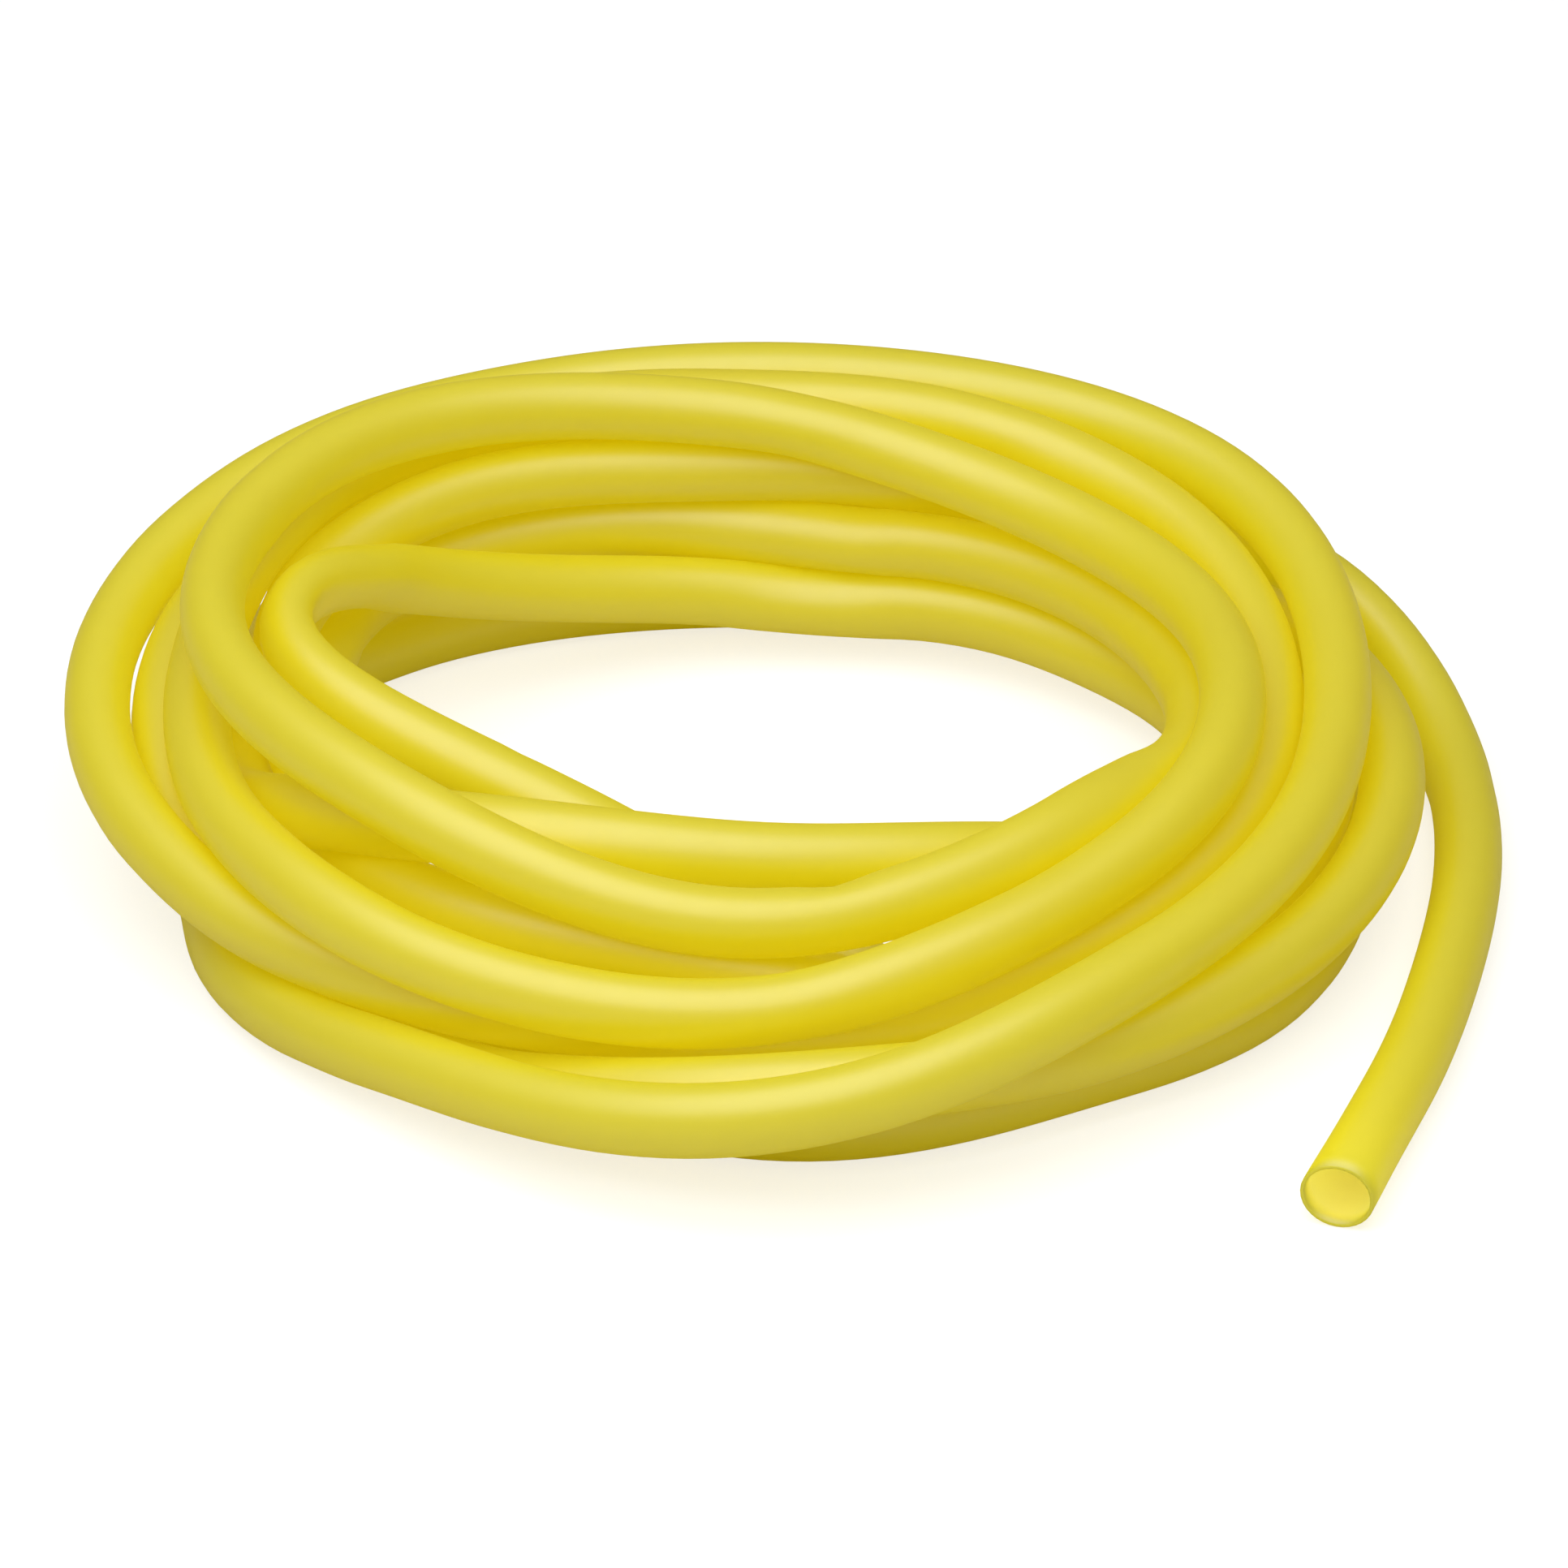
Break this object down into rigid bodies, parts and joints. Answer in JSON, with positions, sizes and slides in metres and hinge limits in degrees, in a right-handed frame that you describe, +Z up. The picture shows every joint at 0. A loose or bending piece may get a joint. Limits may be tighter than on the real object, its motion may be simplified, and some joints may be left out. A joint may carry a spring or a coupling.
{
  "type": "coiled flexible tubing",
  "caption": "Hank of soft thin-walled yellow tubing lying in loose, uneven laps, one length crossing the hole and turning back sharply, the open cut end resting outside the laps.",
  "frame": {"origin": "on the floor under the middle of the hank's footprint, the loose end included", "axes": "+Z up; +Y to the back, away from the loose cut end; +X to the right, the side the tail comes down"},
  "size_m": [0.3022, 0.2904, 0.0712],
  "materials": {
    "tubing": "soft translucent yellow, matte"
  },
  "bodies": {
    "root": {"hose_inner_mouth": "tubing", "hose_coil": "tubing", "hose_tail": "tubing", "hose_outer_mouth": "tubing"}
  },
  "joints": []
}
